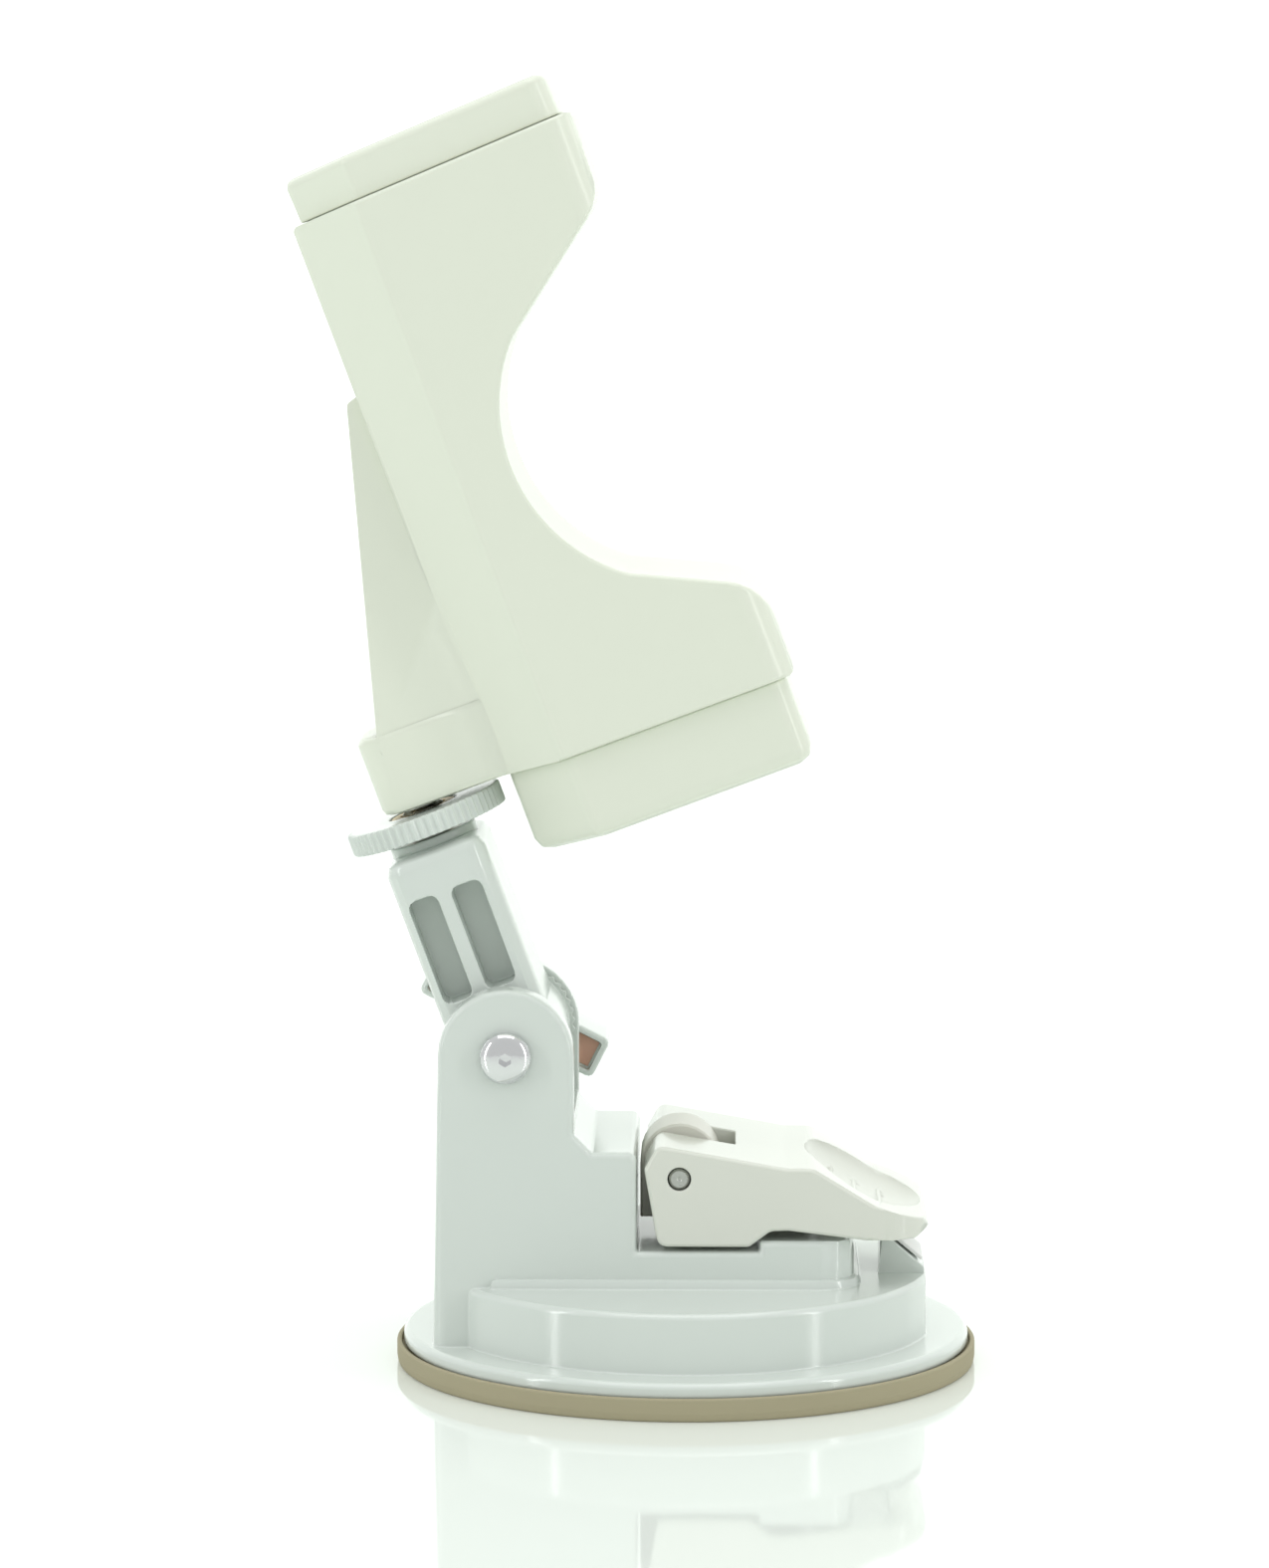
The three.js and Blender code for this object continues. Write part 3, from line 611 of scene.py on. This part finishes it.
@dataclass
class TiltJoint:
    """The bolt, washers and wing knob that clamp the arm between the ears."""

    axis: Vector = field(default_factory=lambda: Vector(joint("arm_tilt")["pos_m"]))
    crown: float = 2.3 * MM
    crown_skirt: float = 0.5 * MM
    shank: float = 2.4 * MM
    pitch: float = 0.8 * MM
    threads: int = 14
    thread_depth: float = 0.45 * MM
    socket_depth: float = 2.2 * MM
    socket_radius: float = 1.0 * MM
    socket_sink: float = 0.12 * MM
    # size, offset and lift of the plate that carries the painted glow of light through the recess floor
    glow_plate: Vector = field(default_factory=lambda: Vector((4.7, 4.1, 0.6)) * MM)
    glow_plate_offset: float = 10.9 * MM
    glow_plate_lift: float = 0.45 * MM
    recess_depth: float = 1.6 * MM
    wing_turn: float = 27.0

    def build(self) -> None:
        """Make every piece on the tilt axis."""
        self.bolt()
        for node, finish in (("friction_washer_front", WASHER), ("friction_washer_rear", HOUSING)):
            finish_piece(softened(node, 0.1 * MM, 2), node + "_disc", "base", finish, (node,))
        finish_piece(softened("knob_washer", 0.12 * MM, 2), "knob_washer_disc", "base", STEEL,
                     ("knob_washer",))
        finish_piece(softened("knob_nut", 0.2 * MM, 2), "hex_nut", "knob", BRASS, ("knob_nut",))
        finish_piece(softened("wing_knob", 0.3 * MM), "wing_knob_body", "knob", HOUSING, ("wing_knob",))
        self.painted_glow_plates()

    def painted_glow_plates(self) -> None:
        """A plate on the floor of the shallow recess in each wing of the knob, coloured tan as painted
        light: the warm glow of light shining through the thin recess floor.
        """
        near_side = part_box("wing_knob")[0].y
        middle_y = near_side + self.recess_depth - self.glow_plate.z / 2 + self.glow_plate_lift
        turn = math.radians(self.wing_turn)
        along_wing = Vector((math.cos(turn), 0, -math.sin(turn)))
        for i, side in enumerate((1, -1)):
            centre = self.axis + along_wing * side * self.glow_plate_offset
            bm = rounded_box(self.glow_plate, 0.15 * MM)
            bm.transform(Matrix.Rotation(math.pi / 2, 4, "X"))
            bm.transform(Matrix.Rotation(turn, 4, "Y"))
            bm.transform(Matrix.Translation((centre.x, middle_y, centre.z)))
            finish_piece(bm, f"knob_painted_glow_{i + 1}", "knob", PAINTED_GLOW)

    def bolt(self) -> None:
        """A domed cap bolt with a hexagon socket and a threaded end."""
        low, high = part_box("pivot_bolt")
        head = (high.z - low.z) / 2
        length = high.y - low.y
        seat = length - self.crown
        root = self.shank - self.thread_depth
        outline = [(0, 0), (root - 0.4 * MM, 0)]
        for i in range(self.threads):
            height = 0.6 * MM + i * self.pitch
            outline += [(root, height), (self.shank, height + self.pitch * 0.45),
                        (self.shank, height + self.pitch * 0.55)]
        outline += [(self.shank, seat), (head - 0.15 * MM, seat), (head, seat + 0.2 * MM)]
        for angle in (math.radians(degrees) for degrees in range(8, 68, 8)):
            outline.append((head * math.cos(angle),
                            seat + self.crown_skirt + (self.crown - self.crown_skirt) * math.sin(angle)))
        outline += [(self.socket_radius + 0.25 * MM, length - self.socket_sink), (0, length)]
        bm = turned(outline, 72)
        self._socket(bm, length)
        bm.transform(along(-Y_AXIS, Vector((self.axis.x, high.y, self.axis.z))))
        finish_piece(bm, "tilt_bolt", "base", CHROME, ("pivot_bolt",))

    def _socket(self, bm: bmesh.types.BMesh, length: float) -> None:
        """Sink a six-sided socket into the crown of the bolt."""
        crown = max(bm.verts, key=lambda v: v.co.z)
        faces = list(crown.link_faces)
        disc = bmesh.ops.dissolve_faces(bm, faces=faces)["region"]
        for vert in disc[0].verts:
            turn = math.atan2(vert.co.y, vert.co.x) % (math.pi / 3) - math.pi / 6
            radius = self.socket_radius * math.cos(math.pi / 6) / math.cos(turn)
            flat = Vector((vert.co.x, vert.co.y, 0)).normalized() * radius
            vert.co = Vector((flat.x, flat.y, length - self.socket_sink))
        sunk = bmesh.ops.extrude_face_region(bm, geom=disc)
        bmesh.ops.translate(bm, verts=made_verts(sunk["geom"]), vec=(0, 0, -self.socket_depth))
        bmesh.ops.delete(bm, geom=disc, context="FACES_ONLY")
        bmesh.ops.recalc_face_normals(bm, faces=bm.faces)


@dataclass
class LeverClamp:
    """The cam lever with its pin and the stem that it pulls."""

    edge: float = 0.3 * MM
    pin_chamfer: float = 0.3 * MM
    mark_radius: float = 0.35 * MM
    mark_depth: float = 0.25 * MM

    def build(self) -> None:
        """Make every piece of the clamp."""
        finish_piece(softened("cam_lever", self.edge), "lever", "lever", LEVER, ("cam_lever",))
        finish_piece(softened("pull_stem", 0.2 * MM), "stem", "stem", ACETAL, ("pull_stem",))
        finish_piece(softened("diaphragm_plate", 0.1 * MM), "pull_plate", "stem", STEEL,
                     ("diaphragm_plate",))
        self.pin()

    def pin(self) -> None:
        """The lever pin, chamfered at both ends, with a shallow centre mark."""
        low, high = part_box("lever_pin")
        radius = (high.z - low.z) / 2
        length = high.y - low.y
        chamfer = self.pin_chamfer
        outline = [
            (0, self.mark_depth),
            (self.mark_radius, 0),
            (radius - chamfer, 0),
            (radius, chamfer),
            (radius, length - chamfer),
            (radius - chamfer, length),
            (self.mark_radius, length),
            (0, length - self.mark_depth),
        ]
        bm = turned(outline, 40)
        bm.transform(along(-Y_AXIS, Vector(((low.x + high.x) / 2, high.y, (low.z + high.z) / 2))))
        finish_piece(bm, "hinge_pin", "stem", STEEL, ("lever_pin",))


@dataclass
class Arm:
    """The tilting arm, its threaded stud and the knurled lock wheel."""

    axis: Vector = field(default_factory=lambda: Vector(joint("grip_swivel")["axis"]).normalized())
    pivot: Vector = field(default_factory=lambda: Vector(joint("arm_tilt")["pos_m"]))
    stud_radius: float = 3.175 * MM
    pitch: float = 1.27 * MM
    thread_depth: float = 0.6 * MM
    thread_low: float = 24.0 * MM
    thread_high: float = 46.7 * MM
    head_low: float = 20.3 * MM
    head_high: float = 23.7 * MM
    head_radius: float = 4.6 * MM
    wheel_radius: float = 11.8 * MM
    wheel_bore: float = 5.2 * MM
    wheel_low: float = 33.0 * MM
    wheel_high: float = 36.2 * MM
    wheel_edge: float = 0.3 * MM
    rim_turn: float = 60.0  # edges of the wheel that turn by more degrees than this are rounded
    teeth: int = 60
    tooth_depth: float = 0.45 * MM

    def build(self) -> None:
        """Make every piece of the arm."""
        finish_piece(softened("tilt_arm", 0.3 * MM), "arm_body", "arm", HOUSING, ("tilt_arm",))
        finish_piece(softened("pivot_bush", 0.15 * MM, 2), "bush", "arm", STEEL, ("pivot_bush",))
        self.stud()
        self.wheel()
        finish_piece(softened("wheel_insert", 0.15 * MM, 2), "wheel_nut", "wheel", BRASS,
                     ("wheel_insert",))

    def stud(self) -> None:
        """The stud: a hexagon head moulded into the arm and a thread that stands out of it."""
        root = self.stud_radius - self.thread_depth
        turns = int((self.thread_high - self.thread_low - 1.2 * MM) / self.pitch)
        outline = [(0, self.head_low + 1 * MM), (root, self.head_low + 1 * MM), (root, self.thread_low)]
        for i in range(turns):
            height = self.thread_low + i * self.pitch
            outline += [(root, height + 0.1 * self.pitch), (self.stud_radius, height + 0.42 * self.pitch),
                        (self.stud_radius, height + 0.58 * self.pitch), (root, height + 0.9 * self.pitch)]
        outline += [(root, self.thread_high - 0.4 * MM), (root - 0.4 * MM, self.thread_high),
                    (0, self.thread_high)]
        bm = turned(outline, 56)
        head = bmesh.ops.create_cone(bm, cap_ends=True, segments=6, radius1=self.head_radius,
                                     radius2=self.head_radius, depth=self.head_high - self.head_low)["verts"]
        bmesh.ops.translate(bm, verts=head, vec=(0, 0, (self.head_low + self.head_high) / 2))
        bm.transform(along(self.axis, self.pivot))
        finish_piece(bm, "stud", "arm", STEEL, ("tripod_stud",))

    def wheel(self) -> None:
        """The lock wheel: a disc with rounded ribs round its rim and a soft edge."""
        around = self.teeth * 6
        bm = bmesh.new()
        outer = bmesh.ops.create_circle(bm, segments=around, radius=self.wheel_radius)["verts"]
        for vert in outer:
            angle = math.atan2(vert.co.y, vert.co.x)
            dip = 0.5 - 0.5 * math.cos(angle * self.teeth)
            vert.co *= 1 - self.tooth_depth * dip ** 1.4 / self.wheel_radius
        bmesh.ops.create_circle(bm, segments=around, radius=self.wheel_bore)
        faces = bmesh.ops.bridge_loops(bm, edges=bm.edges[:])["faces"]
        grown = bmesh.ops.extrude_face_region(bm, geom=faces)["geom"]
        bmesh.ops.translate(bm, verts=made_verts(grown), vec=(0, 0, self.wheel_high - self.wheel_low))
        bmesh.ops.recalc_face_normals(bm, faces=bm.faces)
        rims = [e for e in bm.edges if e.calc_face_angle(0) > math.radians(self.rim_turn)]
        bmesh.ops.bevel(bm, geom=rims, offset=self.wheel_edge, segments=2, profile=0.5, affect="EDGES",
                        material=-1, clamp_overlap=False)
        bm.transform(along(self.axis, self.pivot) @ Matrix.Translation((0, 0, self.wheel_low)))
        finish_piece(bm, "knurled_wheel", "wheel", HOUSING, ("lock_wheel",))


@dataclass
class SaddleGrip:
    """The cream hollow grip with its top cap, bottom plug and threaded insert."""

    edge: float = 0.55 * MM

    def build(self) -> None:
        """Make every piece of the grip."""
        finish_piece(softened("grip_shell", self.edge, 4), "saddle_shell", "grip", GRIP, ("grip_shell",))
        finish_piece(softened("top_cap", 0.3 * MM), "cap", "grip", GRIP, ("top_cap",))
        finish_piece(softened("bottom_plug", 0.3 * MM), "plug", "grip", GRIP, ("bottom_plug",))
        finish_piece(softened("threaded_insert", 0.15 * MM, 2), "stud_insert", "grip", BRASS,
                     ("threaded_insert",))


# ---------------------------------------------------------------- studio


@dataclass
class Studio:
    """A pale glossy table with a white sweep, soft boxes and the camera."""

    target: Vector = field(default_factory=lambda: (CAD_BOX[0] + CAD_BOX[1]) / 2)
    camera_side: float = 12.4 * MM
    camera_back: float = 830 * MM
    camera_height: float = 184.4 * MM
    camera_pitch: float = 6.82
    camera_yaw: float = -0.87
    lens: float = 131.7
    sensor: float = 36
    half_width: float = 3.0
    table_front: float = -2.2
    backdrop_back: float = 2.4
    backdrop_bend: float = 0.8
    backdrop_top: float = 2.6
    bend_steps: int = 16
    sheet_colour: tuple = (0.76, 0.81, 0.76, 1)
    sheet_ior: float = 1.6
    room_colour: tuple = (0.975, 1.0, 0.985, 1)
    room_front: float = 0.7
    room_back: float = 0.82
    table_glow: float = 0.1
    backdrop_glow: float = 0.62

    def build(self) -> None:
        """Set up the table, the lights and the camera."""
        self.camera()
        self.table()
        self.world()
        self.lights()

    def camera(self) -> None:
        """A long lens, a little above the object, looking along +Y."""
        data = bpy.data.cameras.new("camera")
        data.lens = self.lens
        data.sensor_width = self.sensor
        data.clip_end = 30
        camera = bpy.data.objects.new("camera", data)
        camera.location = (self.camera_side, -self.camera_back, self.camera_height)
        camera.rotation_euler = (math.radians(90 - self.camera_pitch), 0, math.radians(-self.camera_yaw))
        bpy.context.scene.collection.objects.link(camera)
        bpy.context.scene.camera = camera

    def table(self) -> None:
        """A glossy pale table top and the white sheet that rises behind it."""
        back, bend = self.backdrop_back, self.backdrop_bend
        angles = [math.pi / 2 * i / self.bend_steps for i in range(self.bend_steps + 1)]
        curve = [(back - bend + bend * math.sin(a), bend - bend * math.cos(a)) for a in angles]
        self.sheet("table", [(self.table_front, 0), curve[0]], 0.05, self.table_glow)
        self.sheet("backdrop", [*curve, (back, self.backdrop_top)], 0.6, self.backdrop_glow)

    def sheet(self, name: str, outline: list, roughness: float, glow: float) -> None:
        """Make one wide sheet of the set.

        Args:
            name: the sheet's name.
            outline: (y, z) points of its side view, in metres.
            roughness: how matt it is.
            glow: how much light it gives of its own, for a white that stays white.
        """
        bm = bmesh.new()
        verts = [bm.verts.new((-self.half_width, y, z)) for y, z in outline]
        edges = [bm.edges.new(pair) for pair in zip(verts, verts[1:])]
        grown = bmesh.ops.extrude_edge_only(bm, edges=edges)["geom"]
        bmesh.ops.translate(bm, verts=made_verts(grown), vec=(2 * self.half_width, 0, 0))
        bmesh.ops.recalc_face_normals(bm, faces=bm.faces)
        mesh = bpy.data.meshes.new(name)
        bm.to_mesh(mesh)
        bm.free()
        for polygon in mesh.polygons:
            polygon.use_smooth = True
        sheet = bpy.data.objects.new(name, mesh)
        bpy.context.scene.collection.objects.link(sheet)
        material = bpy.data.materials.new(name + "_white")
        material.use_nodes = True
        shader = material.node_tree.nodes["Principled BSDF"]
        shader.inputs["Base Color"].default_value = self.sheet_colour
        shader.inputs["Roughness"].default_value = roughness
        shader.inputs["IOR"].default_value = self.sheet_ior
        shader.inputs["Emission Color"].default_value = (1, 1, 1, 1)
        shader.inputs["Emission Strength"].default_value = glow
        mesh.materials.append(material)

    def world(self) -> None:
        """White surroundings, brighter behind the object than on the camera's side."""
        scene = bpy.context.scene
        scene.world = bpy.data.worlds.new("studio")
        scene.world.use_nodes = True
        tree = scene.world.node_tree
        place = tree.nodes.new("ShaderNodeTexCoord")
        split = tree.nodes.new("ShaderNodeSeparateXYZ")
        ramp = tree.nodes.new("ShaderNodeMapRange")
        ramp.inputs["From Min"].default_value = -0.8
        ramp.inputs["From Max"].default_value = 0.6
        ramp.inputs["To Min"].default_value = self.room_front
        ramp.inputs["To Max"].default_value = self.room_back
        background = tree.nodes["Background"]
        background.inputs["Color"].default_value = self.room_colour
        tree.links.new(place.outputs["Generated"], split.inputs[0])
        tree.links.new(split.outputs["Y"], ramp.inputs["Value"])
        tree.links.new(ramp.outputs[0], background.inputs["Strength"])
        scene.view_settings.view_transform = "Standard"
        scene.view_settings.look = "None"

    def lights(self) -> None:
        """Two slim strips beside the camera and a broad soft box above."""
        for name, azimuth in (("strip_left", -62), ("strip_right", 62)):
            self.box(name, azimuth=azimuth, height=0.25, distance=0.9, size=(0.06, 0.9), power=1.8)
        self.box("overhead", azimuth=0, height=1.1, distance=0.05, size=(0.9, 0.7), power=3.4)

    def box(self, name: str, azimuth: float, height: float, distance: float, size: tuple,
            power: float) -> None:
        """Hang one soft box round the object.

        Args:
            name: the light's name.
            azimuth: degrees from the camera's side of the object, towards +X.
            height: height above the table, in metres.
            distance: distance from the object, in metres.
            size: width and height, in metres.
            power: watts.
        """
        data = bpy.data.lights.new(name, "AREA")
        data.shape = "RECTANGLE"
        data.size, data.size_y = size
        data.energy = power
        turn = math.radians(azimuth)
        light = bpy.data.objects.new(name, data)
        light.location = (self.target.x + distance * math.sin(turn), -distance * math.cos(turn), height)
        light.rotation_euler = (self.target - light.location).to_track_quat("-Z", "Y").to_euler()
        bpy.context.scene.collection.objects.link(light)


def main() -> None:
    """Build the object and its studio."""
    logging.basicConfig(level=logging.INFO, format="%(name)s: %(message)s")
    for assembly in (Studio(), Base(), TiltJoint(), LeverClamp(), Arm(), SaddleGrip()):
        LOG.info("building %s", type(assembly).__name__)
        assembly.build()


if __name__ == "__main__":
    main()
